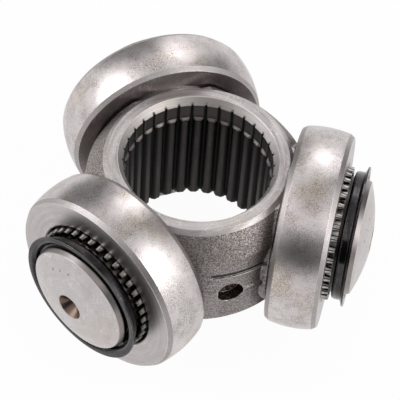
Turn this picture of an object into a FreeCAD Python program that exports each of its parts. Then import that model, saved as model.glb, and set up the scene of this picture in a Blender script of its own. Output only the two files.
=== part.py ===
import FreeCAD, Part
import math
import os

# Tripod set of a plunging constant-velocity joint: a splined spider with three trunnions,
# each carrying a loose roller on a full complement of needles between two washers and a snap ring.
# Millimetres. +Z runs up the spline's axis, and the origin is where the three trunnion axes meet it.
# Every trunnion piece is drawn along +X as (distance from the spline's axis, radius about the
# trunnion's axis) and then turned to its trunnion's direction.

# --- tools that cut it
DRILL_SLOPE = math.tan(math.radians(31.0))
COUNTERSINK_SLOPE = math.tan(math.radians(30.0))
OVERRUN = 1.0                     # how far a cutter runs past the face where it leaves the metal

# --- layout
TRUNNION_ANGLES = {1: 210.0, 2: 330.0, 3: 90.0}

# --- internal spline and the bore's mouth
TEETH = 34
FIRST_GROOVE = 3.15               # direction of one groove, which the broach leaves free
MODULE = 0.8
PITCH_R = TEETH * MODULE / 2.0
TOOTH_REACH = 0.4                 # from the pitch circle to a tooth's tip, and to a groove's root
TIP_R = PITCH_R - TOOTH_REACH
ROOT_R = PITCH_R + TOOTH_REACH
GROOVE_TIP_HALF = 0.73            # half a groove's width at the tooth tips
FLANK_DEPTH = 0.5                 # straight 45 degree flank, before the round root
PILOT_STEP = 0.05                 # the pilot bore's radius over the pitch circle
PILOT_DEPTH = 3.1
TOOTH_BEVEL = 0.6                 # height of the bevelled start of the teeth
MOUTH_HEIGHT = 1.45
MOUTH_STEP = 1.0                  # how much wider the mouth's bevel is than the pilot bore

# --- hub
HUB_TOP = 13.4
HUB_BOTTOM = -12.9
HUB_WALL = 7.3                    # from the groove roots to the forged wall at the parting plane
HUB_R = ROOT_R + HUB_WALL
DRAFT = math.tan(math.radians(7.0))
WALL_HALF = 8.2                   # height of the drafted wall each side of the parting plane
RIM_LAND = 1.95                   # width of the turned top and bottom faces
RIM_CHAMFER = 0.75
CORNER_BULGE = 0.1
FLASH_HALF = 0.8                  # half the height of the trimmed flash round the parting plane
FLASH_PROUD = 0.2

# --- trunnion
TRUNNION_R = 10.85
SHOULDER = 16.4                   # distance of the flat shoulder at a trunnion's root
BOSS_STEP = 3.75                  # how much wider the forged root is than the trunnion
BOSS_FLARE_R = 5.0
BOSS_FLARE_TURN = 60.0            # degrees of arc in the flare, which ends inside the hub
TRUNNION_END = 33.3               # top of the domed end
DOME_RISE = 2.1
END_CHAMFER = 0.9                 # long side of the end's steep chamfer
END_CHAMFER_STEP = 0.4
CENTRE_R = 2.6                    # mouth of the centre-drilled hole
CENTRE_DRILL_R = 1.4
CENTRE_DEPTH = 5.0

# --- needles
NEEDLE_R = 1.0
NEEDLE_COUNT = 37
NEEDLE_PLAY = 0.05                # all of the radial play between trunnion, needle and roller
NEEDLE_LENGTH = 10.6
NEEDLE_END = 0.4                  # axial depth of a needle's pointed end

# --- roller
ROLLER_R = 18.75                  # radius of the spherical running surface
ROLLER_WIDTH = 9.6
ROLLER_EDGE = 0.85                # axial depth of the outer edges' bevels
ROLLER_EDGE_STEP = 0.55
BORE_EDGE = 0.25

# --- washers and snap ring
SEAT_GAP = 0.03                   # running clearance between faces that rest on each other
INNER_WASHER_THICK = 0.42
INNER_WASHER_STEP = 0.6           # how much wider the inner washer is than the roller's bore
WASHER_BORE_GAP = 0.1
SHEET = 0.6                       # thickness of the pressed outer washer
CUP_ROOM = 0.25                   # between the snap ring and the cup round it
CUP_LENGTH = 1.65
LIP_STEP = 1.1                    # how much wider the flared lip is than the cup
LIP_THICK = 0.35
NEEDLE_FLOAT = 0.5                # room between the needles and the outer washer
FLARE_LENGTH = 0.8
RING_THICK = 1.0
RING_DEPTH = 0.7                  # depth of the snap ring's groove
RING_PROUD = 0.3                  # the ring's outside over the trunnion
RING_GAP = 50.0                   # degrees left open between the ring's ends

# --- marks of the forging and the machining on the hub's wall
LOCATING_ANGLE = 270.0            # halfway between two trunnions, on the parting plane
LOCATING_R = 2.45
LOCATING_DEPTH = 2.4
SLOT_START = 261.0
SLOT_SWEEP = 27.0
SLOT_TOP = 5.3
SLOT_HEIGHT = 1.1
SLOT_DEPTH = 0.3

# --- places worked out from the sizes above
PILOT_R = PITCH_R + PILOT_STEP
RIM_R = PILOT_R + MOUTH_STEP + RIM_LAND
BOSS_R = TRUNNION_R + BOSS_STEP
BORE_R = TRUNNION_R + 2.0 * NEEDLE_R + NEEDLE_PLAY
NEEDLE_TRACK_R = (BORE_R + TRUNNION_R) / 2.0
WASHER_BORE_R = TRUNNION_R + WASHER_BORE_GAP
INNER_WASHER_R = BORE_R + INNER_WASHER_STEP
RING_R = TRUNNION_R + RING_PROUD
CUP_R = RING_R + CUP_ROOM + SHEET
LIP_R = CUP_R + LIP_STEP
INNER_WASHER_FACE = SHOULDER + SEAT_GAP
NEEDLE_START = INNER_WASHER_FACE + INNER_WASHER_THICK + SEAT_GAP
NEEDLE_STOP = NEEDLE_START + NEEDLE_LENGTH
ROLLER_START = NEEDLE_START
ROLLER_STOP = ROLLER_START + ROLLER_WIDTH
CUP_FACE = NEEDLE_STOP + NEEDLE_FLOAT
RING_FACE = CUP_FACE + SHEET + SEAT_GAP
RING_STOP = RING_FACE + RING_THICK
END_FACE = TRUNNION_END - DOME_RISE
END_FACE_R = TRUNNION_R - END_CHAMFER_STEP


def outline(start, steps, to_point):
    """Closed wire through start and steps; a step is a point, or (middle, end) of an arc."""
    edges = []
    here = start
    for step in steps + [start]:
        if isinstance(step[0], tuple):
            middle, end = step
            edges.append(Part.Arc(to_point(*here), to_point(*middle), to_point(*end)).toShape())
        else:
            end = step
            edges.append(Part.LineSegment(to_point(*here), to_point(*end)).toShape())
        here = end
    return Part.Face(Part.Wire(edges))


def turned_on_z(start, *steps, sweep=360.0):
    """Solid turned about Z from (radius, height) points."""
    face = outline(start, list(steps), lambda r, z: FreeCAD.Vector(r, 0, z))
    return face.revolve(FreeCAD.Vector(), FreeCAD.Vector(0, 0, 1), sweep)


def turned_on_x(start, *steps):
    """Solid turned about X from (distance, radius) points."""
    face = outline(start, list(steps), lambda d, r: FreeCAD.Vector(d, r, 0))
    return face.revolve(FreeCAD.Vector(), FreeCAD.Vector(1, 0, 0), 360.0)


def turned_to(shape, angle):
    """Copy of the shape turned about Z."""
    copy = shape.copy()
    copy.rotate(FreeCAD.Vector(), FreeCAD.Vector(0, 0, 1), angle)
    return copy


def at_radius(radius, angle):
    """Point in the XY plane, from a radius and an angle in degrees."""
    turn = math.radians(angle)
    return FreeCAD.Vector(radius * math.cos(turn), radius * math.sin(turn), 0)


def hub_blank():
    """Forged hub: drafted both ways from a trimmed flash, with sloped corners and turned faces."""
    turned_r = RIM_R + RIM_CHAMFER
    turned_low = HUB_BOTTOM + RIM_CHAMFER
    turned_high = HUB_TOP - RIM_CHAMFER
    wall_r = HUB_R - DRAFT * WALL_HALF
    corner_r = (turned_r + wall_r) / 2.0 + CORNER_BULGE
    corner_low = (turned_low - WALL_HALF) / 2.0 - CORNER_BULGE
    corner_high = (turned_high + WALL_HALF) / 2.0 + CORNER_BULGE
    flash_root_r = HUB_R - DRAFT * FLASH_HALF
    flash_r = HUB_R + FLASH_PROUD
    flash_edge = FLASH_HALF - FLASH_PROUD
    return turned_on_z(
        (0.0, HUB_BOTTOM),
        (RIM_R, HUB_BOTTOM),
        (turned_r, turned_low),
        ((corner_r, corner_low), (wall_r, -WALL_HALF)),
        (flash_root_r, -FLASH_HALF),
        (flash_r, -flash_edge),
        (flash_r, flash_edge),
        (flash_root_r, FLASH_HALF),
        (wall_r, WALL_HALF),
        ((corner_r, corner_high), (turned_r, turned_high)),
        (RIM_R, HUB_TOP),
        (0.0, HUB_TOP),
    )


def boss(angle):
    """Forged root of a trunnion, which flares into the hub behind its flat shoulder."""
    turn = math.radians(BOSS_FLARE_TURN)
    depth = BOSS_FLARE_R * math.sin(turn)
    half_depth = BOSS_FLARE_R * math.sin(turn / 2.0)
    rise = BOSS_FLARE_R * (1.0 - math.cos(turn))
    half_rise = BOSS_FLARE_R * (1.0 - math.cos(turn / 2.0))
    root = turned_on_x(
        (0.0, 0.0),
        (0.0, BOSS_R + rise),
        (SHOULDER - depth, BOSS_R + rise),
        ((SHOULDER - half_depth, BOSS_R + half_rise), (SHOULDER, BOSS_R)),
        (SHOULDER, 0.0),
    )
    height = HUB_TOP - HUB_BOTTOM - 2.0 * RIM_CHAMFER
    low = FreeCAD.Vector(0, -HUB_R, HUB_BOTTOM + RIM_CHAMFER)
    slab = Part.makeBox(SHOULDER, 2.0 * HUB_R, height, low)
    return turned_to(root.common(slab), angle)


def shoulder_cut(angle):
    """Ring of metal that is turned away round a trunnion, down to its flat shoulder."""
    reach = 2.0 * HUB_R
    ring = turned_on_x(
        (SHOULDER, TRUNNION_R),
        (SHOULDER, reach),
        (SHOULDER + reach, reach),
        (SHOULDER + reach, TRUNNION_R),
    )
    return turned_to(ring, angle)


def trunnion(angle):
    """Ground pin with a snap ring groove, a domed end and a centre-drilled hole."""
    dome_r = (END_FACE_R ** 2 + DOME_RISE ** 2) / (2.0 * DOME_RISE)
    dome_centre = TRUNNION_END - dome_r

    def on_dome(radius):
        return dome_centre + math.sqrt(dome_r ** 2 - radius ** 2)

    countersink = (CENTRE_R - CENTRE_DRILL_R) / COUNTERSINK_SLOPE
    mouth = on_dome(CENTRE_R)
    halfway = (END_FACE_R + CENTRE_R) / 2.0
    drill_tip = CENTRE_DRILL_R * DRILL_SLOPE
    pin = turned_on_x(
        (SHOULDER / 2.0, 0.0),
        (SHOULDER / 2.0, TRUNNION_R),
        (RING_FACE - SEAT_GAP / 2.0, TRUNNION_R),
        (RING_FACE - SEAT_GAP / 2.0, TRUNNION_R - RING_DEPTH),
        (RING_STOP + SEAT_GAP, TRUNNION_R - RING_DEPTH),
        (RING_STOP + SEAT_GAP, TRUNNION_R),
        (END_FACE - END_CHAMFER, TRUNNION_R),
        (END_FACE, END_FACE_R),
        ((on_dome(halfway), halfway), (mouth, CENTRE_R)),
        (mouth - countersink, CENTRE_DRILL_R),
        (mouth - CENTRE_DEPTH, CENTRE_DRILL_R),
        (mouth - CENTRE_DEPTH - drill_tip, 0.0),
    )
    return turned_to(pin, angle)


def spline_grooves():
    """Solid that fills the bore up to the tooth tips and all the grooves between the teeth."""
    bottom = HUB_BOTTOM - OVERRUN
    length = HUB_TOP - bottom + OVERRUN
    pitch = 360.0 / TEETH
    tip_half = math.degrees(GROOVE_TIP_HALF / TIP_R)
    flank_r = TIP_R + FLANK_DEPTH
    flank_half = math.degrees((GROOVE_TIP_HALF - FLANK_DEPTH) / flank_r)
    edges = []
    for tooth in range(TEETH):
        groove = tooth * pitch
        entry = at_radius(TIP_R, groove - tip_half)
        root_in = at_radius(flank_r, groove - flank_half)
        root = at_radius(ROOT_R, groove)
        root_out = at_radius(flank_r, groove + flank_half)
        leave = at_radius(TIP_R, groove + tip_half)
        land = at_radius(TIP_R, groove + pitch / 2.0)
        next_entry = at_radius(TIP_R, groove + pitch - tip_half)
        edges.append(Part.LineSegment(entry, root_in).toShape())
        edges.append(Part.Arc(root_in, root, root_out).toShape())
        edges.append(Part.LineSegment(root_out, leave).toShape())
        edges.append(Part.Arc(leave, land, next_entry).toShape())
    face = Part.Face(Part.Wire(edges))
    face.translate(FreeCAD.Vector(0, 0, bottom))
    return turned_to(face.extrude(FreeCAD.Vector(0, 0, length)), FIRST_GROOVE)


def bore_mouth():
    """Bevelled mouth, pilot bore and the cone that starts the teeth."""
    above = HUB_TOP + OVERRUN
    pilot_top = HUB_TOP - MOUTH_HEIGHT
    pilot_bottom = pilot_top - PILOT_DEPTH
    tooth_top = pilot_bottom - TOOTH_BEVEL
    return turned_on_z(
        (0.0, tooth_top),
        (TIP_R, tooth_top),
        (PILOT_R, pilot_bottom),
        (PILOT_R, pilot_top),
        (PILOT_R + MOUTH_STEP, HUB_TOP),
        (PILOT_R + MOUTH_STEP, above),
        (0.0, above),
    )


def locating_hole():
    """Blind drilled seat in the hub's wall that holds the forging while it is machined."""
    tip = LOCATING_R * DRILL_SLOPE
    drill = turned_on_x(
        (HUB_R - LOCATING_DEPTH - tip, 0.0),
        (HUB_R - LOCATING_DEPTH, LOCATING_R),
        (HUB_R + HUB_WALL, LOCATING_R),
        (HUB_R + HUB_WALL, 0.0),
    )
    return turned_to(drill, LOCATING_ANGLE)


def forged_slot():
    """Shallow round-ended slot pressed along the hub's wall."""
    middle = SLOT_TOP - SLOT_HEIGHT / 2.0
    floor_r = HUB_R - DRAFT * middle - SLOT_DEPTH
    slot = turned_on_z(
        (floor_r, SLOT_TOP - SLOT_HEIGHT),
        (floor_r, SLOT_TOP),
        (HUB_R + SLOT_DEPTH, SLOT_TOP),
        (HUB_R + SLOT_DEPTH, SLOT_TOP - SLOT_HEIGHT),
        sweep=SLOT_SWEEP,
    )
    start = FreeCAD.Vector(floor_r, 0, middle)
    depth = HUB_R + SLOT_DEPTH - floor_r
    end = Part.makeCylinder(SLOT_HEIGHT / 2.0, depth, start, FreeCAD.Vector(1, 0, 0))
    return turned_to(slot.fuse([end, turned_to(end, SLOT_SWEEP)]), SLOT_START)


def spider():
    """Hub, forged roots and trunnions in one piece, with its machined faces."""
    angles = TRUNNION_ANGLES.values()
    forging = hub_blank().fuse([boss(angle) for angle in angles])
    machined = forging.cut([shoulder_cut(angle) for angle in angles])
    machined = machined.fuse([trunnion(angle) for angle in angles]).removeSplitter()
    return machined.cut([spline_grooves(), bore_mouth(), locating_hole(), forged_slot()])


def inner_washer(angle):
    """Thin flat washer between the shoulder and the needles."""
    far_face = INNER_WASHER_FACE + INNER_WASHER_THICK
    washer = turned_on_x(
        (INNER_WASHER_FACE, WASHER_BORE_R),
        (INNER_WASHER_FACE, INNER_WASHER_R),
        (far_face, INNER_WASHER_R),
        (far_face, WASHER_BORE_R),
    )
    return turned_to(washer, angle)


def needle_rollers(angle):
    """Full complement of needles round one trunnion, as separate solids."""
    needle = turned_on_x(
        (NEEDLE_START, 0.0),
        (NEEDLE_START + NEEDLE_END, NEEDLE_R),
        (NEEDLE_STOP - NEEDLE_END, NEEDLE_R),
        (NEEDLE_STOP, 0.0),
    )
    needle.translate(FreeCAD.Vector(0, NEEDLE_TRACK_R, 0))
    needles = []
    for place in range(NEEDLE_COUNT):
        copy = needle.copy()
        copy.rotate(FreeCAD.Vector(), FreeCAD.Vector(1, 0, 0), place * 360.0 / NEEDLE_COUNT)
        needles.append(turned_to(copy, angle))
    return Part.makeCompound(needles)


def outer_roller(angle):
    """Roller with a spherical running surface, bevelled edges and a plain bore."""
    middle = (ROLLER_START + ROLLER_STOP) / 2.0
    track_half = ROLLER_WIDTH / 2.0 - ROLLER_EDGE
    edge_r = math.sqrt(ROLLER_R ** 2 - track_half ** 2)
    face_r = edge_r - ROLLER_EDGE_STEP
    roller = turned_on_x(
        (ROLLER_START, BORE_R + BORE_EDGE),
        (ROLLER_START, face_r),
        (middle - track_half, edge_r),
        ((middle, ROLLER_R), (middle + track_half, edge_r)),
        (ROLLER_STOP, face_r),
        (ROLLER_STOP, BORE_R + BORE_EDGE),
        (ROLLER_STOP - BORE_EDGE, BORE_R),
        (ROLLER_START + BORE_EDGE, BORE_R),
    )
    return turned_to(roller, angle)


def outer_washer(angle):
    """Pressed cup that keeps the needles in: a flange, a round shoulder and a flared lip."""
    turn = SHEET * (1.0 - math.sqrt(0.5))
    flare_start = CUP_FACE + CUP_LENGTH
    lip_face = flare_start + FLARE_LENGTH
    lip_back = lip_face - LIP_THICK
    inside_r = CUP_R - SHEET
    flare_middle = (flare_start + lip_back) / 2.0
    flare_dip = LIP_STEP / 3.0
    washer = turned_on_x(
        (CUP_FACE, WASHER_BORE_R),
        (CUP_FACE, CUP_R - SHEET),
        ((CUP_FACE + turn, CUP_R - turn), (CUP_FACE + SHEET, CUP_R)),
        (flare_start, CUP_R),
        ((flare_middle, CUP_R + flare_dip), (lip_back, LIP_R)),
        (lip_face, LIP_R),
        (lip_face, LIP_R - SHEET),
        ((flare_middle + LIP_THICK, inside_r + flare_dip), (flare_start, inside_r)),
        (CUP_FACE + SHEET, inside_r),
        (CUP_FACE + SHEET, WASHER_BORE_R),
    )
    return turned_to(washer, angle)


def snap_ring(angle):
    """Open spring ring that sits in the trunnion's groove and holds the outer washer."""
    inside_r = TRUNNION_R - RING_DEPTH + SEAT_GAP
    ring = outline(
        (RING_FACE, inside_r),
        [(RING_FACE, RING_R), (RING_STOP, RING_R), (RING_STOP, inside_r)],
        lambda d, r: FreeCAD.Vector(d, r, 0),
    )
    axis = FreeCAD.Vector(1, 0, 0)
    ring.rotate(FreeCAD.Vector(), axis, RING_GAP / 2.0)
    return turned_to(ring.revolve(FreeCAD.Vector(), axis, 360.0 - RING_GAP), angle)


def save(name, shape):
    """Write one node's STEP file."""
    shape.exportStep(os.path.join("parts", name + ".step"))


os.makedirs("parts", exist_ok=True)
save("spider", spider())
for number, direction in TRUNNION_ANGLES.items():
    save("inner_washer_%d" % number, inner_washer(direction))
    save("needle_rollers_%d" % number, needle_rollers(direction))
    save("outer_roller_%d" % number, outer_roller(direction))
    save("outer_washer_%d" % number, outer_washer(direction))
    save("snap_ring_%d" % number, snap_ring(direction))
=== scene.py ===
import math

import bpy
from mathutils import Matrix, Vector


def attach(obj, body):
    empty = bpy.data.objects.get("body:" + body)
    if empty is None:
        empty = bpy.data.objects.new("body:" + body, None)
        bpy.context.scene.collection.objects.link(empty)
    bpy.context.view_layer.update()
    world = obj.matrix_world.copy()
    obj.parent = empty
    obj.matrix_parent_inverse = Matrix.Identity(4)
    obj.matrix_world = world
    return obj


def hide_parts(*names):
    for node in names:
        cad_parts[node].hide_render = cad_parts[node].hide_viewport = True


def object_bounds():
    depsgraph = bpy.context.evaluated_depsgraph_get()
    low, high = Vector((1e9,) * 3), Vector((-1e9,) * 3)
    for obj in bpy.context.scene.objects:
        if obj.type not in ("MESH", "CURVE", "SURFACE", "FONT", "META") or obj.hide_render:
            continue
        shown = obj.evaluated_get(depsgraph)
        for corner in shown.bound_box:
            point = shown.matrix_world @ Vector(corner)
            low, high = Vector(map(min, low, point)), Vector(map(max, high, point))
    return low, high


# Tripod set of a plunging joint: a forged spider with three trunnions, and on each of them
# a loose roller, a ring of needles, two washers and a snap ring. Lengths here are in
# millimetres, and MM turns them into the frame's metres.

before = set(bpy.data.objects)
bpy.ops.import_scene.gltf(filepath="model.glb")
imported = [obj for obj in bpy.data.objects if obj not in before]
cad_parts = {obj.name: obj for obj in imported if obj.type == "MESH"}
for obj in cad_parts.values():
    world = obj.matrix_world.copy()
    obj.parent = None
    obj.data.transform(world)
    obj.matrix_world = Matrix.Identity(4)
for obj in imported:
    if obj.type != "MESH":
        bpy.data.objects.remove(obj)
cad_low, cad_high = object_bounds()

MM = 0.001
TRUNNIONS = {1: 210.0, 2: 330.0, 3: 90.0}

# Heights and radii at which the finish changes on the hub
RIM_HEIGHT = 12.62                # above and below it, the hub is turned
CREASE_HEIGHT = 8.2
MOUTH_FOOT = 11.9                 # where the bore's mouth begins
MOUTH_R = 14.75
PILOT_R = 13.7
PILOT_FOOT = 8.86                 # where the pilot bore ends and the bevelled tooth starts begin
TOOTH_TOP = 8.22
TOOTH_START_R = 13.62
GROOVE_SIDE_R = 13.36             # halfway down a tooth's side
BORE_WALL_R = 14.2                # just outside the groove roots
BORE_HALF = 13.5                  # just past both ends of the bore
TEETH = 34
FIRST_GROOVE = 3.15               # degrees
SLOT_FOOT = 4.15                  # slot pressed in the hub's wall
SLOT_TOP = 5.35
SLOT_EDGE_R = 20.58
SEAT_R = 2.5                      # drilled locating seat in the hub's wall
SEAT_EDGE_R = 21.1
SEAT_FRONT_Y = -10.0              # the seat and the slot are on this side of the hub only
SLOT_FRONT_Y = -15.0

# The same on the trunnions, as distances along them and from their axes
SHOULDER = 16.36                  # flat at the trunnion's root
PIN_R = 10.92
COLLAR_START = 27.48              # part past the needles, where the outer washer sits, painted dark as shade under the washer with some oil
COLLAR_END = 30.16
CHAMFER_START = 30.26
CHAMFER_R = 10.42
CENTRE_HOLE_R = 2.62
CENTRE_HOLE_START = 20.0
PUNCH_RING_R = 7.6                # ring of punch dots on the domed end
PUNCH_DISTANCE = 32.35
PUNCH_TURNS = (100.0, 116.0, 132.0, 250.0, 266.0)
PUNCH_SIZE = 0.42

# Rollers and needles, along the trunnion and from its axis
ROLLER_MIDDLE = 21.68
ROLLER_TRACK_HALF = 3.95
ROLLER_FACE = 4.76
ROLLER_INNER_FACE = 16.94
ROLLER_BORE_R = 13.1
NEEDLE_START = 16.88
NEEDLE_LENGTH = 10.6
NEEDLE_ROUND = 0.42
NEEDLE_R = 0.99
NEEDLE_TRACK_R = 11.875
NEEDLE_COUNT = 37
NEEDLE_POINTS = 15                # along one needle
NEEDLE_SIDES = 12
NEEDLE_END_SHARE = 0.05           # of half its length, over which each end is rounded
NEEDLE_END_DROP = 0.4             # share of its radius lost at the very end
NEEDLE_SHARP = 50.0               # degrees

# Colours of the forging
FORGED_DARK = (0.130, 0.113, 0.108, 1)
FORGED_PALE = (0.190, 0.168, 0.162, 1)
FORGED_BROWN = (0.165, 0.135, 0.122, 1)
BLAST_GLINT = (0.50, 0.46, 0.45, 1)
SLOT_SHADE = (0.05, 0.042, 0.038, 1)
SEAT_SHADE_BROWN = (0.075, 0.050, 0.040, 1)
SEAT_CHIP = (0.34, 0.28, 0.25, 1)
RIM_DULL = (0.39, 0.358, 0.354, 1)
RIM_BRIGHT = (0.58, 0.541, 0.536, 1)
RIM_FILM = (0.30, 0.275, 0.27, 1)
MOUTH_DULL = (0.57, 0.53, 0.515, 1)
MOUTH_BRIGHT = (0.64, 0.60, 0.585, 1)
RIM_SCRATCH = (0.72, 0.71, 0.70, 1)
# painted shade: the bore's teeth and grooves are painted nearly black for the shade deep in the
# bore
TOOTH_SIDE_SHADE = (0.014, 0.011, 0.011, 1)
TOOTH_CREST = (0.036, 0.031, 0.030, 1)
TOOTH_CREST_DRY = (0.056, 0.048, 0.047, 1)
GROOVE_SHADE = (0.009, 0.007, 0.007, 1)
TOOTH_START = (0.36, 0.33, 0.32, 1)
PILOT_GREY = (0.088, 0.076, 0.074, 1)
PIN_DULL = (0.525, 0.490, 0.485, 1)
PIN_BRIGHT = (0.56, 0.525, 0.52, 1)
PIN_SCRATCH = (0.74, 0.73, 0.72, 1)
PIN_CHAMFER_SHADE = (0.27, 0.245, 0.24, 1)
PIN_STAIN = (0.40, 0.365, 0.355, 1)
PIN_SHADE_AND_OIL = (0.05, 0.044, 0.043, 1)
PUNCH_DARK = (0.13, 0.115, 0.11, 1)
CENTRE_BROWN = (0.17, 0.125, 0.10, 1)
FORGED_EDGE = (0.68, 0.67, 0.66, 1)

# Colours of the rollers, needles and washers
TRACK_DULL = (0.65, 0.600, 0.592, 1)
TRACK_BRIGHT = (0.72, 0.670, 0.662, 1)
TRACK_SPECK = (0.25, 0.224, 0.218, 1)
FACE_DULL = (0.45, 0.417, 0.410, 1)
FACE_BRIGHT = (0.53, 0.495, 0.488, 1)
BEVEL_GREY = (0.38, 0.35, 0.343, 1)
INNER_FACE_SHADE = (0.235, 0.208, 0.202, 1)
ROLLER_BORE_GREY = (0.40, 0.39, 0.38, 1)
ROLLER_SCRATCH = (0.70, 0.69, 0.68, 1)
ROLLER_EDGE = (0.74, 0.73, 0.72, 1)
NEEDLE_DULL = (0.38, 0.36, 0.35, 1)
NEEDLE_BRIGHT = (0.48, 0.46, 0.45, 1)
NEEDLE_GREASE = (0.30, 0.27, 0.24, 1)
NEEDLE_END = (0.34, 0.32, 0.30, 1)
# painted shade that stands for the dark gaps between the needles
NEEDLE_GAP_SHADE = (0.045, 0.040, 0.038, 1)
OXIDE_BLACK = (0.006, 0.005, 0.006, 1)
OXIDE_GREY = (0.060, 0.056, 0.058, 1)
OXIDE_OIL = (0.018, 0.016, 0.017, 1)
OXIDE_SPECK = (0.05, 0.048, 0.05, 1)
OXIDE_BARE = (0.34, 0.33, 0.33, 1)
STRIP_DULL = (0.42, 0.41, 0.40, 1)
STRIP_BRIGHT = (0.52, 0.51, 0.50, 1)
SPRING_DULL = (0.10, 0.10, 0.105, 1)
SPRING_BRIGHT = (0.17, 0.17, 0.175, 1)
STRIP_EDGE = (0.55, 0.54, 0.53, 1)
NO_TINT = (1.0, 1.0, 1.0, 1)
STRAW_TINT = (1.0, 0.91, 0.74, 1)
VIOLET_TINT = (0.93, 0.84, 0.9, 1)

# Studio, in metres and degrees: azimuth 0 is the camera's side, and 90 is to its right
FLOOR_REACH = 3.0
FLOOR_PAINT = (0.9, 0.9, 0.9, 1)
FLOOR_GLOW = 0.96                 # share of the floor that is plain white to eye and gloss
WORLD_LIGHT = 0.55
SOFTBOX_DISTANCE = 0.9
SOFTBOXES = (
    # name, azimuth, elevation, width and height in metres, watts
    ("left softbox", -91.0, 36.0, (0.48, 0.56), 2.3),
    ("right softbox", 62.0, 33.0, (0.52, 0.74), 3.0),
    ("back softbox", 167.0, 44.0, (0.36, 0.36), 0.82),
)
FLAG_DISTANCE = 1.4
FLAG_STEPS = 8
FLAGS = (
    # name, azimuths, elevations, brightness
    ("front flag", (-44.0, 36.0), (-3.0, 42.0), 0.05),
    ("left back flag", (-176.0, -126.0), (-2.0, 50.0), 0.22),
    ("right back flag", (108.0, 146.0), (-2.0, 66.0), 0.22),
    ("ceiling flag", (-180.0, 180.0), (66.0, 90.0), 0.6),
)

# Camera
CAMERA_AZIMUTH = -20.8226
CAMERA_ELEVATION = 51.374
CAMERA_ROLL = 4.426
CAMERA_DISTANCE = 447.1
CAMERA_AIM = Vector((0.8904, 0.0, 1.2229))
SENSOR_WIDTH = 36.0
LENS = 218.013
LENS_SHIFT = -0.00125


# ---------------------------------------------------------------- node helpers

def socket(tree, name, kind, value=None, out=False):
    made = tree.interface.new_socket(name, in_out="OUTPUT" if out else "INPUT", socket_type=kind)
    if value is not None:
        made.default_value = value
    return made


class Maker:
    """Adds nodes to one tree and joins them in the order that they are used."""

    def __init__(self, tree):
        self.tree = tree
        self.column = 0

    def add(self, kind, **settings):
        node = self.tree.nodes.new(kind)
        self.column += 1
        node.location = (180 * self.column, -60 * (self.column % 5))
        for name, value in settings.items():
            setattr(node, name, value)
        return node

    def put(self, value, target):
        if isinstance(value, bpy.types.NodeSocket):
            self.tree.links.new(value, target)
        else:
            target.default_value = value

    def math(self, operation, a, b=None, c=None, clamp=False):
        node = self.add("ShaderNodeMath", operation=operation, use_clamp=clamp)
        for index, value in enumerate((a, b, c)):
            if value is not None:
                self.put(value, node.inputs[index])
        return node.outputs[0]

    def vector(self, operation, a, b=None):
        node = self.add("ShaderNodeVectorMath", operation=operation)
        self.put(a, node.inputs[0])
        if b is not None:
            self.put(b, node.inputs[1])
        plain_number = operation in ("DOT_PRODUCT", "LENGTH", "DISTANCE")
        return node.outputs["Value" if plain_number else "Vector"]

    def times(self, a, b):
        return self.math("MULTIPLY", a, b)

    def plus(self, a, b):
        return self.math("ADD", a, b)

    def rest_of(self, share):
        return self.math("SUBTRACT", 1.0, share)

    def scaled(self, value, factor):
        node = self.add("ShaderNodeVectorMath", operation="SCALE")
        self.put(value, node.inputs[0])
        self.put(factor, node.inputs["Scale"])
        return node.outputs["Vector"]

    def parts(self, value):
        node = self.add("ShaderNodeSeparateXYZ")
        self.put(value, node.inputs[0])
        return node.outputs[0], node.outputs[1], node.outputs[2]

    def joined(self, x, y, z):
        node = self.add("ShaderNodeCombineXYZ")
        for index, value in enumerate((x, y, z)):
            self.put(value, node.inputs[index])
        return node.outputs[0]

    def mix(self, factor, a, b, blend="MIX"):
        node = self.add("ShaderNodeMix", data_type="RGBA", blend_type=blend)
        self.put(factor, node.inputs[0])
        self.put(a, node.inputs[6])
        self.put(b, node.inputs[7])
        return node.outputs[2]

    def blend(self, factor, a, b):
        node = self.add("ShaderNodeMix", data_type="FLOAT")
        self.put(factor, node.inputs[0])
        self.put(a, node.inputs[2])
        self.put(b, node.inputs[3])
        return node.outputs[0]

    def noise(self, where, scale, detail=2.0, rough=0.6):
        node = self.add("ShaderNodeTexNoise")
        self.put(where, node.inputs["Vector"])
        self.put(scale, node.inputs["Scale"])
        self.put(detail, node.inputs["Detail"])
        self.put(rough, node.inputs["Roughness"])
        return node.outputs["Fac"]

    def ramp(self, value, low, high):
        """0 at low and 1 at high, with a smooth rise; low may be the larger number."""
        node = self.add("ShaderNodeMapRange", interpolation_type="SMOOTHSTEP")
        self.put(value, node.inputs["Value"])
        self.put(low, node.inputs["From Min"])
        self.put(high, node.inputs["From Max"])
        return node.outputs["Result"]

    def above(self, value, limit, soft=0.03):
        return self.ramp(value, limit - soft, limit + soft)

    def below(self, value, limit, soft=0.03):
        return self.rest_of(self.above(value, limit, soft))

    def between(self, value, low, high, soft=0.03):
        return self.both(self.above(value, low, soft), self.below(value, high, soft))

    def both(self, a, b):
        return self.times(a, b)

    def either(self, a, b):
        return self.math("MAXIMUM", a, b)

    def group(self, tree, **values):
        node = self.add("ShaderNodeGroup", node_tree=tree)
        for name, value in values.items():
            self.put(value, node.inputs[name.replace("_", " ")])
        return node

    def place(self):
        """The piece's own coordinates, in millimetres."""
        coordinates = self.add("ShaderNodeTexCoord")
        mapping = self.add("ShaderNodeMapping")
        mapping.inputs["Scale"].default_value = (1000.0, 1000.0, 1000.0)
        self.put(coordinates.outputs["Object"], mapping.inputs["Vector"])
        return mapping.outputs["Vector"]


def new_group(name, inputs, outputs):
    """Empty shader group: inputs and outputs are (name, kind, value) rows."""
    tree = bpy.data.node_groups.new(name, "ShaderNodeTree")
    for label, kind, value in inputs:
        socket(tree, label, "NodeSocket" + kind, value)
    for label, kind in outputs:
        socket(tree, label, "NodeSocket" + kind, out=True)
    m = Maker(tree)
    given = m.add("NodeGroupInput").outputs
    taken = m.add("NodeGroupOutput").inputs
    return tree, m, given, taken


# ---------------------------------------------------------------- shared effects

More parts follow.
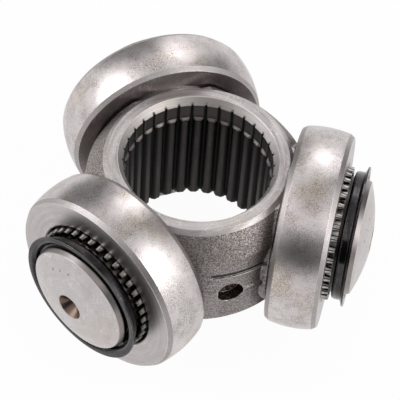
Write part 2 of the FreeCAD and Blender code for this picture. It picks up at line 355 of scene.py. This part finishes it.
def trunnion_place_group():
    """Distance along the nearest trunnion's axis, and distance from that axis."""
    tree, m, given, taken = new_group(
        "trunnion place", [("Place", "Vector", None)], [("Along", "Float"), ("Off", "Float")])
    along = None
    for angle in TRUNNIONS.values():
        turn = math.radians(angle)
        reach = m.vector("DOT_PRODUCT", given["Place"], (math.cos(turn), math.sin(turn), 0.0))
        along = reach if along is None else m.either(along, reach)
    whole = m.vector("DOT_PRODUCT", given["Place"], given["Place"])
    left = m.math("SUBTRACT", whole, m.times(along, along))
    m.put(along, taken["Along"])
    m.put(m.math("SQRT", m.either(left, 0.0)), taken["Off"])
    return tree


def edge_wear_group():
    """Rounded normal near sharp edges, and a mask of where handling has polished them."""
    tree, m, given, taken = new_group(
        "edge wear",
        [("Place", "Vector", None), ("Width", "Float", 0.2), ("Patchy", "Float", 0.5)],
        [("Worn", "Float"), ("Normal", "Vector")])
    bevel = m.add("ShaderNodeBevel", samples=6)
    m.put(m.times(given["Width"], MM), bevel.inputs["Radius"])
    flat = m.add("ShaderNodeNewGeometry").outputs["Normal"]
    turn = m.vector("DOT_PRODUCT", bevel.outputs["Normal"], flat)
    edge = m.ramp(turn, 0.997, 0.93)
    patches = m.ramp(m.noise(given["Place"], 1.1, 3.0, 0.65), 0.36, 0.6)
    kept = m.rest_of(m.times(given["Patchy"], m.rest_of(patches)))
    m.put(m.both(edge, kept), taken["Worn"])
    m.put(bevel.outputs["Normal"], taken["Normal"])
    return tree


def blasted_skin_group():
    """Skin of a forging after shot blasting: fine dents, coarser pits and wide dull patches."""
    tree, m, given, taken = new_group(
        "blasted skin",
        [("Place", "Vector", None), ("Dent", "Float", 0.4), ("Coarse", "Float", 0.25)],
        [("Height", "Float"), ("Speck", "Float"), ("Patch", "Float")])
    rate = m.math("DIVIDE", 1.0, given["Dent"])
    fine = m.noise(given["Place"], rate, 1.5, 0.6)
    coarse = m.noise(given["Place"], m.times(rate, 0.3), 2.0, 0.5)
    pits = m.ramp(coarse, 0.36, 0.5)
    m.put(m.blend(given["Coarse"], fine, pits), taken["Height"])
    other = m.vector("ADD", given["Place"], (11.0, 5.0, 7.0))
    speck = m.noise(other, m.times(rate, 1.25), 2.0, 0.75)
    m.put(m.ramp(speck, 0.4, 0.6), taken["Speck"])
    m.put(m.ramp(m.noise(given["Place"], 0.16, 4.0, 0.6), 0.38, 0.62), taken["Patch"])
    return tree


def turned_marks_group():
    """Fine rings that a lathe or a grinding wheel leaves: they change only across the surface."""
    tree, m, given, taken = new_group(
        "turned marks",
        [("Place", "Vector", None), ("Across", "Float", 0.0), ("Pitch", "Float", 0.15)],
        [("Height", "Float"), ("Streak", "Float")])
    step = m.math("DIVIDE", given["Across"], given["Pitch"])
    wander = m.scaled(given["Place"], 0.08)
    where = m.vector("ADD", m.joined(step, 0.0, 0.0), wander)
    rings = m.noise(where, 1.0, 2.0, 0.7)
    m.put(rings, taken["Height"])
    wide = m.vector("ADD", m.joined(m.times(step, 0.2), 3.0, 0.0), wander)
    m.put(m.ramp(m.noise(wide, 1.0, 3.0, 0.7), 0.35, 0.65), taken["Streak"])
    return tree


def hair_scratches_group():
    """Thin stray scratches in three directions, more in some places than in others."""
    tree, m, given, taken = new_group(
        "hair scratches",
        [("Place", "Vector", None), ("Share", "Float", 0.5)],
        [("Scratch", "Float")])
    total = None
    for turn in ((0.3, 0.2, 0.5), (1.2, 0.7, 2.1), (2.4, 1.6, 3.7)):
        mapping = m.add("ShaderNodeMapping", vector_type="TEXTURE")
        mapping.inputs["Rotation"].default_value = turn
        mapping.inputs["Scale"].default_value = (6.0, 0.55, 0.55)
        m.put(given["Place"], mapping.inputs["Vector"])
        wave = m.noise(mapping.outputs[0], 1.0, 1.0, 0.4)
        line = m.math("ABSOLUTE", m.math("SUBTRACT", wave, 0.5))
        thin = m.ramp(line, 0.012, 0.004)
        total = thin if total is None else m.either(total, thin)
    some = m.ramp(m.noise(given["Place"], 0.35, 2.0, 0.5), 0.62, 0.4)
    m.put(m.times(m.both(total, some), given["Share"]), taken["Scratch"])
    return tree


def heat_tint_group():
    """Colour that an oil film and tempering leave: straw here, a trace of violet there."""
    tree, m, given, taken = new_group(
        "heat tint",
        [("Place", "Vector", None), ("Straw", "Float", 0.5), ("Violet", "Float", 0.3)],
        [("Tint", "Color")])
    straw = m.ramp(m.noise(given["Place"], 0.11, 3.0, 0.55), 0.5, 0.68)
    shifted = m.vector("ADD", given["Place"], (31.0, 17.0, 9.0))
    violet = m.ramp(m.noise(shifted, 0.22, 3.0, 0.6), 0.5, 0.7)
    tint = m.mix(m.times(straw, given["Straw"]), NO_TINT, STRAW_TINT)
    tint = m.mix(m.times(violet, given["Violet"]), tint, VIOLET_TINT)
    m.put(tint, taken["Tint"])
    return tree


def punch_dots_group():
    """Small centre-punch dots on the domed ends of the trunnions: plain workshop marks."""
    tree, m, given, taken = new_group(
        "punch dots", [("Place", "Vector", None), ("Size", "Float", 0.5)], [("Dent", "Float")])
    total = None
    for angle in TRUNNIONS.values():
        spin = Matrix.Rotation(math.radians(angle), 3, "Z")
        for turn in PUNCH_TURNS:
            side = PUNCH_RING_R * math.cos(math.radians(turn))
            rise = PUNCH_RING_R * math.sin(math.radians(turn))
            centre = spin @ Vector((PUNCH_DISTANCE, side, rise))
            gap = m.vector("DISTANCE", given["Place"], tuple(centre))
            near = m.math("DIVIDE", gap, given["Size"])
            dot = m.ramp(near, 1.0, 0.25)
            total = dot if total is None else m.either(total, dot)
    m.put(total, taken["Dent"])
    return tree


TRUNNION_PLACE = trunnion_place_group()
EDGE_WEAR = edge_wear_group()
BLASTED_SKIN = blasted_skin_group()
TURNED_MARKS = turned_marks_group()
HAIR_SCRATCHES = hair_scratches_group()
HEAT_TINT = heat_tint_group()
PUNCH_DOTS = punch_dots_group()


# ---------------------------------------------------------------- finishes

def finish(name):
    """New metal with its shader, ready for nodes."""
    material = bpy.data.materials.new(name)
    material.use_nodes = True
    shader = material.node_tree.nodes["Principled BSDF"]
    shader.inputs["Metallic"].default_value = 1.0
    return material, Maker(material.node_tree), shader.inputs


def bump(m, height, depth, normal=None):
    """Normal of a surface that is raised by height times depth millimetres."""
    node = m.add("ShaderNodeBump")
    node.inputs["Strength"].default_value = 1.0
    node.inputs["Distance"].default_value = depth * MM
    m.put(height, node.inputs["Height"])
    if normal is not None:
        m.put(normal, node.inputs["Normal"])
    return node.outputs["Normal"]


def forged_wall(m, place, radius, skin):
    """Blasted wall, browner above its crease, with painted shade in its pressed slot and a drilled
    seat painted dark brown, partly as painted shade.
    """
    x, y, z = m.parts(place)
    upper = m.above(m.math("ABSOLUTE", z), CREASE_HEIGHT, 0.3)
    wall = m.mix(skin["Patch"], FORGED_DARK, FORGED_PALE)
    wall = m.mix(m.times(upper, 0.4), wall, FORGED_BROWN)
    wall = m.mix(m.times(skin["Speck"], 0.72), wall, BLAST_GLINT)

    # painted shade over a brown tint inside the drilled seat, with lighter chips at random
    seat_off = m.math("SQRT", m.plus(m.times(x, x), m.times(z, z)))
    seat = m.both(m.below(seat_off, SEAT_R), m.below(y, SEAT_FRONT_Y))
    seat = m.both(seat, m.below(radius, SEAT_EDGE_R, 0.1))
    chips = m.ramp(m.noise(place, 1.6, 3.0, 0.7), 0.5, 0.66)
    wall = m.mix(seat, wall, m.mix(chips, SEAT_SHADE_BROWN, SEAT_CHIP))

    # painted shade: the pressed slot is darkened nearly to black
    slot = m.both(m.below(radius, SLOT_EDGE_R, 0.04), m.below(y, SLOT_FRONT_Y))
    slot = m.both(m.between(z, SLOT_FOOT, SLOT_TOP), slot)
    return m.mix(m.times(slot, 0.85), wall, SLOT_SHADE)


def turned_rim(m, mouth, skin, streak, scratch):
    """Turned face of the hub, ringed and filmed, with a brighter bevel at the bore's mouth."""
    color = m.mix(streak, RIM_DULL, RIM_BRIGHT)
    color = m.mix(m.times(skin["Speck"], 0.3), color, RIM_FILM)
    color = m.mix(mouth, color, m.mix(streak, MOUTH_DULL, MOUTH_BRIGHT))
    return m.mix(scratch, color, RIM_SCRATCH)


def broached_bore(m, place, radius):
    """Teeth darkened with painted shade deep in the bore, crests paler than sides as painted
    shading of their round, grooves nearly black with painted shade, and bright bevelled tooth
    starts.
    """
    x, y, z = m.parts(place)
    swing = m.times(m.math("ARCTAN2", y, x), float(TEETH))
    swing = m.math("SUBTRACT", swing, math.radians(FIRST_GROOVE) * TEETH)
    # painted shading: each tooth's crest is paler and its sides darker, so that the teeth look
    # round
    crest = m.ramp(m.math("COSINE", swing), -0.2, -0.98)
    grime = m.noise(m.vector("MULTIPLY", place, (1.0, 1.0, 0.18)), 1.3, 3.0, 0.6)
    top = m.mix(m.ramp(grime, 0.3, 0.7), TOOTH_CREST, TOOTH_CREST_DRY)
    color = m.mix(crest, TOOTH_SIDE_SHADE, top)
    # painted shade in the groove roots
    color = m.mix(m.above(radius, GROOVE_SIDE_R, 0.06), color, GROOVE_SHADE)
    start = m.both(m.between(z, TOOTH_TOP, PILOT_FOOT, 0.04), m.below(radius, TOOTH_START_R))
    color = m.mix(start, color, TOOTH_START)
    pilot = m.both(m.above(z, PILOT_FOOT, 0.04), m.below(radius, PILOT_R))
    return m.mix(pilot, color, PILOT_GREY)


def ground_trunnion(m, place, pin, streak, scratch, dots):
    """Ground pin: punch dots and stains, a chamfer darkened with painted shade, the collar under
    the washer painted dark as painted shade with some oil, and drilled centre.
    """
    along, off = pin["Along"], pin["Off"]
    color = m.mix(streak, PIN_DULL, PIN_BRIGHT)
    color = m.mix(scratch, color, PIN_SCRATCH)
    color = m.mix(m.times(dots, 0.7), color, PUNCH_DARK)
    # painted shade: the chamfer at the trunnion's end is darkened to stand for the dark that it
    # reflects
    chamfer = m.both(m.above(along, CHAMFER_START), m.above(off, CHAMFER_R))
    color = m.mix(chamfer, color, PIN_CHAMFER_SHADE)
    stain = m.ramp(m.noise(place, 0.45, 4.0, 0.65), 0.5, 0.72)
    color = m.mix(m.times(stain, 0.35), color, PIN_STAIN)
    # painted shade with some oil: the collar in the dark gap under the outer washer
    color = m.mix(m.between(along, COLLAR_START, COLLAR_END), color, PIN_SHADE_AND_OIL)
    hole = m.both(m.below(off, CENTRE_HOLE_R), m.above(along, CENTRE_HOLE_START))
    return m.mix(hole, color, CENTRE_BROWN)


def forging_finish():
    """Blasted forging with turned faces, a dark broached bore and ground trunnions."""
    material, m, shader = finish("forged and machined steel")
    place = m.place()
    x, y, z = m.parts(place)
    radius = m.math("SQRT", m.plus(m.times(x, x), m.times(y, y)))
    level = m.math("ABSOLUTE", z)
    pin = m.group(TRUNNION_PLACE, Place=place).outputs
    skin = m.group(BLASTED_SKIN, Place=place, Dent=0.3, Coarse=0.3).outputs
    scratch = m.group(HAIR_SCRATCHES, Place=place, Share=0.8).outputs["Scratch"]
    tint = m.group(HEAT_TINT, Place=place, Straw=0.25, Violet=0.3).outputs["Tint"]
    dots = m.group(PUNCH_DOTS, Place=place, Size=PUNCH_SIZE).outputs["Dent"]
    rim_marks = m.group(
        TURNED_MARKS, Place=place, Across=m.plus(radius, m.times(z, 0.7)), Pitch=0.16).outputs
    pin_marks = m.group(
        TURNED_MARKS, Place=place, Across=m.plus(pin["Along"], pin["Off"]), Pitch=0.09).outputs

    # where each way of working the metal shows
    on_pin = m.both(m.above(pin["Along"], SHOULDER), m.below(pin["Off"], PIN_R))
    root = m.both(m.above(pin["Along"], SHOULDER - 0.6), m.above(pin["Off"], PIN_R))
    mouth = m.both(m.above(z, MOUTH_FOOT), m.below(radius, MOUTH_R))
    bore = m.both(m.below(radius, BORE_WALL_R), m.below(level, BORE_HALF))
    bore = m.both(bore, m.below(z, MOUTH_FOOT))
    machined = m.either(m.either(m.above(level, RIM_HEIGHT), mouth), on_pin)
    forged = m.both(m.rest_of(machined), m.rest_of(bore))
    wear = m.group(EDGE_WEAR, Place=place, Width=m.blend(bore, 0.22, 0.6), Patchy=0.6).outputs
    shine = m.both(wear["Worn"], m.blend(m.either(bore, root), 0.8, 0.03))

    color = m.mix(
        machined,
        forged_wall(m, place, radius, skin),
        turned_rim(m, mouth, skin, rim_marks["Streak"], scratch))
    color = m.mix(bore, color, broached_bore(m, place, radius))
    color = m.mix(on_pin, color, ground_trunnion(m, place, pin, pin_marks["Streak"], scratch, dots))
    color = m.mix(1.0, color, tint, "MULTIPLY")
    m.put(m.mix(shine, color, FORGED_EDGE), shader["Base Color"])

    rough = m.blend(skin["Speck"], 0.62, 0.48)
    rough = m.blend(machined, rough, m.blend(rim_marks["Streak"], 0.56, 0.48))
    rough = m.blend(bore, rough, 0.5)
    rough = m.blend(on_pin, rough, m.blend(pin_marks["Streak"], 0.36, 0.30))
    m.put(m.blend(shine, rough, 0.26), shader["Roughness"])

    lathe = m.blend(on_pin, rim_marks["Height"], pin_marks["Height"])
    lathe = m.times(lathe, m.blend(on_pin, 0.07, 0.012))
    height = m.blend(forged, lathe, m.blend(bore, skin["Height"], 0.3))
    height = m.math("SUBTRACT", height, m.times(dots, 0.8))
    m.put(bump(m, height, 0.085, wear["Normal"]), shader["Normal"])
    return material


def roller_finish():
    """Tumbled and ground roller: satin, finely speckled, with a straw film and polished edges."""
    material, m, shader = finish("roller steel")
    place = m.place()
    pin = m.group(TRUNNION_PLACE, Place=place).outputs
    skin = m.group(BLASTED_SKIN, Place=place, Dent=0.2, Coarse=0.0).outputs
    wear = m.group(EDGE_WEAR, Place=place, Width=0.2, Patchy=0.25).outputs
    scratch = m.group(HAIR_SCRATCHES, Place=place, Share=0.45).outputs["Scratch"]
    tint = m.group(HEAT_TINT, Place=place, Straw=0.5, Violet=0.4).outputs["Tint"]

    marks = m.group(
        TURNED_MARKS, Place=place, Across=m.plus(pin["Along"], pin["Off"]), Pitch=0.13).outputs

    from_middle = m.math("ABSOLUTE", m.math("SUBTRACT", pin["Along"], ROLLER_MIDDLE))
    side = m.above(from_middle, ROLLER_TRACK_HALF)
    face = m.above(from_middle, ROLLER_FACE)
    inner_face = m.below(pin["Along"], ROLLER_INNER_FACE)
    bore = m.both(m.below(pin["Off"], ROLLER_BORE_R), m.below(from_middle, ROLLER_FACE))

    dirt = m.ramp(m.noise(place, 0.22, 5.0, 0.68), 0.4, 0.62)
    speck = m.both(skin["Speck"], m.blend(dirt, 0.35, 0.95))
    track = m.mix(speck, m.mix(skin["Patch"], TRACK_DULL, TRACK_BRIGHT), TRACK_SPECK)
    sides = m.mix(face, BEVEL_GREY, m.mix(marks["Streak"], FACE_DULL, FACE_BRIGHT))
    color = m.mix(side, track, sides)
    # painted shade: the roller's inner face, which faces the hub, is darker than its outer face
    color = m.mix(inner_face, color, INNER_FACE_SHADE)
    color = m.mix(bore, color, ROLLER_BORE_GREY)
    color = m.mix(scratch, color, ROLLER_SCRATCH)
    color = m.mix(m.blend(side, 1.0, 0.35), color, m.mix(1.0, color, tint, "MULTIPLY"))
    m.put(m.mix(m.times(wear["Worn"], 0.8), color, ROLLER_EDGE), shader["Base Color"])

    rough = m.blend(skin["Patch"], 0.34, 0.29)
    rough = m.blend(side, rough, m.blend(marks["Streak"], 0.48, 0.42))
    rough = m.blend(face, rough, 0.36)
    m.put(m.blend(wear["Worn"], rough, 0.2), shader["Roughness"])

    grain = m.both(m.rest_of(side), skin["Height"])
    rings = m.times(marks["Height"], m.blend(side, 0.12, 0.2))
    m.put(bump(m, m.plus(grain, rings), 0.028, wear["Normal"]), shader["Normal"])
    return material


def needle_finish():
    """Superfinished needles with patches of grease and darker ends, and painted shade on each
    needle's sides that face its neighbours and the trunnion.
    """
    material, m, shader = finish("needle steel")
    place = m.place()
    pin = m.group(TRUNNION_PLACE, Place=place).outputs
    marks = m.group(TURNED_MARKS, Place=place, Across=pin["Along"], Pitch=0.1).outputs
    grease = m.ramp(m.noise(place, 0.7, 3.0, 0.6), 0.42, 0.66)
    crown = m.add("ShaderNodeAttribute", attribute_type="GEOMETRY", attribute_name="crown")
    outer_end = m.above(pin["Along"], NEEDLE_START + NEEDLE_LENGTH - NEEDLE_ROUND, 0.1)
    ends = m.either(outer_end, m.below(pin["Along"], NEEDLE_START + NEEDLE_ROUND, 0.1))
    color = m.mix(marks["Streak"], NEEDLE_DULL, NEEDLE_BRIGHT)
    color = m.mix(m.times(grease, 0.45), color, NEEDLE_GREASE)
    color = m.mix(m.times(ends, 0.5), color, NEEDLE_END)
    # painted shade: all of each needle except its outward crown is darkened towards the shade
    # between the needles
    m.put(m.mix(m.ramp(crown.outputs["Fac"], 0.72, 0.1), color, NEEDLE_GAP_SHADE), shader["Base Color"])
    m.put(m.blend(grease, 0.14, 0.26), shader["Roughness"])
    m.put(bump(m, marks["Height"], 0.002), shader["Normal"])
    return material


def blackened_finish():
    """Oiled black oxide on pressed strip, rubbed bare along its edges."""
    material, m, shader = finish("blackened steel")
    place = m.place()
    pin = m.group(TRUNNION_PLACE, Place=place).outputs
    skin = m.group(BLASTED_SKIN, Place=place, Dent=0.3, Coarse=0.2).outputs
    wear = m.group(EDGE_WEAR, Place=place, Width=0.13, Patchy=0.7).outputs
    scratch = m.group(HAIR_SCRATCHES, Place=place, Share=0.5).outputs["Scratch"]
    across = m.plus(pin["Off"], m.times(pin["Along"], 0.8))
    marks = m.group(TURNED_MARKS, Place=place, Across=across, Pitch=0.24).outputs
    color = m.mix(marks["Streak"], OXIDE_BLACK, OXIDE_GREY)
    color = m.mix(m.times(skin["Patch"], 0.5), color, OXIDE_OIL)
    color = m.mix(m.times(skin["Speck"], 0.25), color, OXIDE_SPECK)
    bare = m.either(m.times(wear["Worn"], 0.55), m.times(scratch, 0.5))
    m.put(m.mix(bare, color, OXIDE_BARE), shader["Base Color"])
    m.put(m.blend(marks["Streak"], 0.24, 0.12), shader["Roughness"])
    shader["Coat Weight"].default_value = 0.08
    shader["Coat Roughness"].default_value = 0.12
    height = m.plus(m.times(skin["Height"], 0.6), m.times(marks["Height"], 0.4))
    m.put(bump(m, height, 0.006, wear["Normal"]), shader["Normal"])
    return material


def strip_finish(name, dull, bright, rough):
    """Rolled strip: bright for the inner washers, phosphated for the snap rings."""
    material, m, shader = finish(name)
    place = m.place()
    pin = m.group(TRUNNION_PLACE, Place=place).outputs
    skin = m.group(BLASTED_SKIN, Place=place, Dent=0.25, Coarse=0.2).outputs
    wear = m.group(EDGE_WEAR, Place=place, Width=0.1, Patchy=0.5).outputs
    marks = m.group(TURNED_MARKS, Place=place, Across=pin["Off"], Pitch=0.1).outputs
    color = m.mix(m.both(marks["Streak"], skin["Patch"]), dull, bright)
    m.put(m.mix(m.times(wear["Worn"], 0.6), color, STRIP_EDGE), shader["Base Color"])
    m.put(m.blend(skin["Patch"], rough, rough + 0.1), shader["Roughness"])
    m.put(bump(m, skin["Height"], 0.006, wear["Normal"]), shader["Normal"])
    return material


def dress(node, material):
    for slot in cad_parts[node].material_slots:
        slot.link = "OBJECT"
        slot.material = material


# ---------------------------------------------------------------- needles

def needle_body(m, given):
    """One needle along X, whose radius falls off in part of a circle at each end."""
    line = m.add("GeometryNodeCurvePrimitiveLine")
    m.put(m.joined(given["Length"], 0.0, 0.0), line.inputs["End"])
    points = m.add("GeometryNodeResampleCurve")
    m.put(line.outputs[0], points.inputs["Curve"])
    points.inputs["Count"].default_value = NEEDLE_POINTS

    # the points crowd towards the ends, so that the round has enough of them
    parameter = m.add("GeometryNodeSplineParameter").outputs["Factor"]
    from_middle = m.math("SUBTRACT", m.times(parameter, 2.0), 1.0)
    eased = m.math("SINE", m.times(from_middle, math.pi / 2.0))
    eased = m.math("SINE", m.times(eased, math.pi / 2.0))
    share = m.plus(m.times(eased, 0.5), 0.5)
    shape = m.add("GeometryNodeSetPosition")
    m.put(points.outputs[0], shape.inputs["Geometry"])
    m.put(m.joined(m.times(share, given["Length"]), 0.0, 0.0), shape.inputs["Position"])

    to_end = m.rest_of(m.math("ABSOLUTE", eased))
    into = m.math("MINIMUM", m.math("DIVIDE", to_end, given["Round End"]), 1.0)
    left = m.rest_of(into)
    drop = m.rest_of(m.math("SQRT", m.rest_of(m.times(left, left))))
    size = m.rest_of(m.times(drop, NEEDLE_END_DROP))
    circle = m.add("GeometryNodeCurvePrimitiveCircle")
    circle.inputs["Resolution"].default_value = NEEDLE_SIDES
    m.put(given["Needle Radius"], circle.inputs["Radius"])
    body = m.add("GeometryNodeCurveToMesh")
    m.put(shape.outputs[0], body.inputs["Curve"])
    m.put(circle.outputs["Curve"], body.inputs["Profile Curve"])
    m.put(size, body.inputs["Scale"])
    body.inputs["Fill Caps"].default_value = True
    return body.outputs[0]


def crowned(m, body, needle_radius):
    """The needle with how far each of its points faces away from the trunnion, from -1 to 1."""
    across = m.parts(m.add("GeometryNodeInputPosition").outputs[0])[2]
    crown = m.add("GeometryNodeStoreNamedAttribute", data_type="FLOAT", domain="POINT")
    m.put(body, crown.inputs["Geometry"])
    crown.inputs["Name"].default_value = "crown"
    m.put(m.math("DIVIDE", across, m.times(needle_radius, -1.0)), crown.inputs["Value"])
    return crown.outputs[0]


def needle_ring_tree():
    """Ring of round-ended needles about +X, turned to its trunnion about Z."""
    tree = bpy.data.node_groups.new("needle ring", "GeometryNodeTree")
    socket(tree, "Count", "NodeSocketInt", NEEDLE_COUNT)
    socket(tree, "Track Radius", "NodeSocketFloat", NEEDLE_TRACK_R * MM)
    socket(tree, "Needle Radius", "NodeSocketFloat", NEEDLE_R * MM)
    socket(tree, "Start", "NodeSocketFloat", NEEDLE_START * MM)
    socket(tree, "Length", "NodeSocketFloat", NEEDLE_LENGTH * MM)
    socket(tree, "Round End", "NodeSocketFloat", NEEDLE_END_SHARE)
    socket(tree, "Trunnion Turn", "NodeSocketFloat", 0.0)
    socket(tree, "Finish", "NodeSocketMaterial")
    socket(tree, "Geometry", "NodeSocketGeometry", out=True)
    m = Maker(tree)
    given = m.add("NodeGroupInput").outputs
    taken = m.add("NodeGroupOutput").inputs

    # the ring, with each needle turned so that its crown faces out
    ring = m.add("GeometryNodeMeshCircle")
    m.put(given["Count"], ring.inputs["Vertices"])
    m.put(given["Track Radius"], ring.inputs["Radius"])
    upright = m.add("GeometryNodeTransform")
    m.put(ring.outputs[0], upright.inputs["Geometry"])
    upright.inputs["Rotation"].default_value = (0.0, math.pi / 2.0, 0.0)
    m.put(m.joined(given["Start"], 0.0, 0.0), upright.inputs["Translation"])
    placed = m.add("GeometryNodeInstanceOnPoints")
    m.put(upright.outputs[0], placed.inputs["Points"])
    needle = crowned(m, needle_body(m, given), given["Needle Radius"])
    m.put(needle, placed.inputs["Instance"])
    step = m.math("DIVIDE", 2.0 * math.pi, given["Count"])
    turn = m.times(m.add("GeometryNodeInputIndex").outputs[0], step)
    m.put(m.joined(turn, 0.0, 0.0), placed.inputs["Rotation"])

    turned = m.add("GeometryNodeTransform")
    m.put(placed.outputs[0], turned.inputs["Geometry"])
    m.put(m.joined(0.0, 0.0, given["Trunnion Turn"]), turned.inputs["Rotation"])
    real = m.add("GeometryNodeRealizeInstances")
    m.put(turned.outputs[0], real.inputs["Geometry"])
    dressed = m.add("GeometryNodeSetMaterial")
    m.put(real.outputs[0], dressed.inputs["Geometry"])
    m.put(given["Finish"], dressed.inputs["Material"])
    m.put(dressed.outputs[0], taken["Geometry"])
    return tree


def set_input(modifier, name, value):
    for item in modifier.node_group.interface.items_tree:
        if item.item_type == "SOCKET" and item.in_out == "INPUT" and item.name == name:
            modifier[item.identifier] = value


def grown(name, tree, values):
    """Plain mesh object of what a geometry tree makes."""
    seed = bpy.data.objects.new(name + "_seed", bpy.data.meshes.new(name + "_seed"))
    bpy.context.scene.collection.objects.link(seed)
    modifier = seed.modifiers.new("made", "NODES")
    modifier.node_group = tree
    for label, value in values.items():
        set_input(modifier, label, value)
    bpy.context.view_layer.update()
    graph = bpy.context.evaluated_depsgraph_get()
    mesh = bpy.data.meshes.new_from_object(seed.evaluated_get(graph))
    seed.modifiers.clear()
    bpy.data.objects.remove(seed)
    mesh.name = name
    piece = bpy.data.objects.new(name, mesh)
    bpy.context.scene.collection.objects.link(piece)
    return piece


def add_needles(number, tree, material):
    piece = grown("needles_%d" % number, tree, {
        "Trunnion Turn": math.radians(TRUNNIONS[number]),
        "Finish": material,
    })
    piece.data.set_sharp_from_angle(angle=math.radians(NEEDLE_SHARP))
    node = "needle_rollers_%d" % number
    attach(piece, node)
    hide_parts(node)


# ---------------------------------------------------------------- camera

def add_camera():
    data = bpy.data.cameras.new("camera")
    data.sensor_width = SENSOR_WIDTH
    data.lens = LENS
    data.shift_x = LENS_SHIFT
    data.clip_start = 0.01
    data.clip_end = 20.0
    camera = bpy.data.objects.new("camera", data)
    bpy.context.scene.collection.objects.link(camera)
    spin = Matrix.Rotation(math.radians(CAMERA_AZIMUTH), 4, "Z")
    tilt = Matrix.Rotation(math.radians(90.0 - CAMERA_ELEVATION), 4, "X")
    roll = Matrix.Rotation(math.radians(CAMERA_ROLL), 4, "Z")
    back = Matrix.Translation((0, 0, CAMERA_DISTANCE * MM))
    camera.matrix_world = spin @ Matrix.Translation(CAMERA_AIM * MM) @ tilt @ roll @ back
    bpy.context.scene.camera = camera


# ---------------------------------------------------------------- studio

def towards(azimuth, elevation):
    """Direction from the part: azimuth 0 is the camera's side, and 90 is to its right."""
    a = math.radians(azimuth + CAMERA_AZIMUTH)
    e = math.radians(elevation)
    return Vector((math.cos(e) * math.sin(a), -math.cos(e) * math.cos(a), math.sin(e)))


def link_mesh(name, corners, faces):
    mesh = bpy.data.meshes.new(name)
    mesh.from_pydata(corners, [], faces)
    made = bpy.data.objects.new(name, mesh)
    bpy.context.scene.collection.objects.link(made)
    return made


def white_glow(m, kind, strength):
    node = m.add(kind)
    node.inputs["Color"].default_value = (1, 1, 1, 1)
    node.inputs["Strength"].default_value = strength
    return node.outputs[0]


def shaders_mixed(m, factor, a, b):
    node = m.add("ShaderNodeMixShader")
    for index, value in enumerate((factor, a, b)):
        m.put(value, node.inputs[index])
    return node.outputs[0]


def seen_by_eye_or_gloss(m):
    """1 for what the camera sees, straight on, in a reflection or through glass, else 0."""
    path = m.add("ShaderNodeLightPath").outputs
    seen = m.plus(path["Is Camera Ray"], path["Is Glossy Ray"])
    return m.math("ADD", seen, path["Is Transmission Ray"], clamp=True)


def softbox(name, azimuth, elevation, size, watts):
    data = bpy.data.lights.new(name, "AREA")
    data.shape = "RECTANGLE"
    data.size, data.size_y = size
    data.energy = watts
    lamp = bpy.data.objects.new(name, data)
    bpy.context.scene.collection.objects.link(lamp)
    place = towards(azimuth, elevation) * SOFTBOX_DISTANCE
    facing = place.to_track_quat("Z", "Y").to_matrix().to_4x4()
    lamp.matrix_world = Matrix.Translation(place) @ facing


def flag(name, azimuths, elevations, brightness):
    """Curved panel of the studio, which gives polished metal something darker to show."""
    corners = []
    for i in range(FLAG_STEPS + 1):
        for j in range(FLAG_STEPS + 1):
            azimuth = azimuths[0] + (azimuths[1] - azimuths[0]) * i / FLAG_STEPS
            elevation = elevations[0] + (elevations[1] - elevations[0]) * j / FLAG_STEPS
            corners.append(towards(azimuth, elevation) * FLAG_DISTANCE)
    row = FLAG_STEPS + 1
    faces = []
    for i in range(FLAG_STEPS):
        for j in range(FLAG_STEPS):
            a = i * row + j
            faces.append((a, a + 1, a + row + 1, a + row))
    panel = link_mesh(name, corners, faces)
    material = bpy.data.materials.new(name)
    material.use_nodes = True
    tree = material.node_tree
    tree.nodes.clear()
    m = Maker(tree)
    out = m.add("ShaderNodeOutputMaterial")
    m.put(white_glow(m, "ShaderNodeEmission", brightness), out.inputs["Surface"])
    panel.data.materials.append(material)
    panel.visible_camera = False
    panel.visible_diffuse = False
    panel.visible_shadow = False
    panel.visible_transmission = False
    panel.visible_volume_scatter = False


def add_world():
    """Even light from all round, which is plain white to eye and gloss."""
    world = bpy.data.worlds.new("studio")
    bpy.context.scene.world = world
    world.use_nodes = True
    tree = world.node_tree
    tree.nodes.clear()
    m = Maker(tree)
    light = white_glow(m, "ShaderNodeBackground", WORLD_LIGHT)
    white = white_glow(m, "ShaderNodeBackground", 1.0)
    out = m.add("ShaderNodeOutputWorld")
    m.put(shaders_mixed(m, seen_by_eye_or_gloss(m), light, white), out.inputs["Surface"])


def add_floor():
    """Matt floor at the part's foot, which is nearly plain white to eye and gloss."""
    z = cad_low[2]
    r = FLOOR_REACH
    floor = link_mesh("floor", [(-r, -r, z), (r, -r, z), (r, r, z), (-r, r, z)], [(0, 1, 2, 3)])
    material = bpy.data.materials.new("floor")
    material.use_nodes = True
    tree = material.node_tree
    shader = tree.nodes["Principled BSDF"]
    shader.inputs["Base Color"].default_value = FLOOR_PAINT
    shader.inputs["Roughness"].default_value = 0.9
    shader.inputs["Specular IOR Level"].default_value = 0.0
    m = Maker(tree)
    share = m.times(seen_by_eye_or_gloss(m), FLOOR_GLOW)
    white = white_glow(m, "ShaderNodeEmission", 1.0)
    surface = shaders_mixed(m, share, shader.outputs[0], white)
    m.put(surface, tree.nodes["Material Output"].inputs["Surface"])
    floor.data.materials.append(material)


def add_studio():
    add_world()
    add_floor()
    for row in SOFTBOXES:
        softbox(*row)
    for row in FLAGS:
        flag(*row)


# ---------------------------------------------------------------- the whole scene

roller = roller_finish()
black = blackened_finish()
needle = needle_finish()
strip = strip_finish("washer steel", STRIP_DULL, STRIP_BRIGHT, 0.26)
spring = strip_finish("spring steel", SPRING_DULL, SPRING_BRIGHT, 0.38)
needle_ring = needle_ring_tree()
dress("spider", forging_finish())
for n in TRUNNIONS:
    dress("outer_roller_%d" % n, roller)
    dress("outer_washer_%d" % n, black)
    dress("inner_washer_%d" % n, strip)
    dress("snap_ring_%d" % n, spring)
    add_needles(n, needle_ring, needle)

add_camera()
add_studio()
bpy.context.scene.view_settings.view_transform = "Standard"
